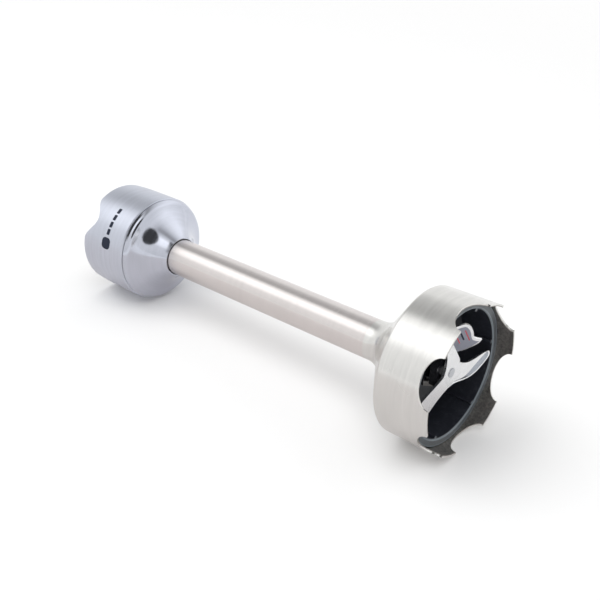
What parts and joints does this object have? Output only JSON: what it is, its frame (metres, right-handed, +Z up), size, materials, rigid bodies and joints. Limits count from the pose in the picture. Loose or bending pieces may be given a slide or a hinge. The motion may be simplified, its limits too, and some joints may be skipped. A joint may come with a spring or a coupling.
{
  "type": "hand blender wand",
  "caption": "Detachable stainless blending wand: coupling collar, long shaft tube and toothed guard with a spinning three-arm blade.",
  "frame": {"origin": "on the wand's axis at the rim of the coupling collar, where the motor handle seats", "axes": "+X along the axis from the collar to the foot, +Z up with the wand lying down, +Y to its far side"},
  "size_m": [0.211, 0.065, 0.0648],
  "materials": {
    "guard_steel": "brushed",
    "tube_steel": "fine brushed",
    "collar_satin": "satin",
    "dome_polished": "polished",
    "blade_steel": "ground and polished",
    "shaft_steel": "ground",
    "black_plastic": "moulded",
    "light_plastic": "moulded",
    "black_rubber": "matt",
    "bush_bronze": "sintered"
  },
  "bodies": {
    "wand": {"blade_guard": "guard_steel", "guard_liner": "black_plastic", "shaft_tube": "tube_steel", "neck_insert": "shaft_steel", "bearing_housing": "black_plastic", "lower_bearing": "bush_bronze", "shaft_seal": "black_rubber", "garter_spring": "shaft_steel", "seal_retainer": "shaft_steel", "steady_bushes": "light_plastic", "collar_sleeve": "collar_satin", "collar_dome": "dome_polished", "collar_gasket": "black_rubber", "tube_seal": "black_rubber", "coupling_core": "black_plastic", "tube_flange": "shaft_steel", "flange_screws": "shaft_steel", "upper_bearing": "bush_bronze", "top_thrust_washer": "light_plastic"},
    "rotor": {"drive_shaft": "shaft_steel", "blade": "blade_steel", "blade_hub": "black_plastic", "foot_thrust_washer": "light_plastic", "circlips": "shaft_steel", "drive_coupler": "light_plastic", "coupler_pin": "shaft_steel"}
  },
  "joints": [
    {"name": "blade_spin", "type": "hinge", "parent": "wand", "child": "rotor", "pos_m": [0, 0, 0], "axis": [1, 0, 0], "continuous": true}
  ]
}
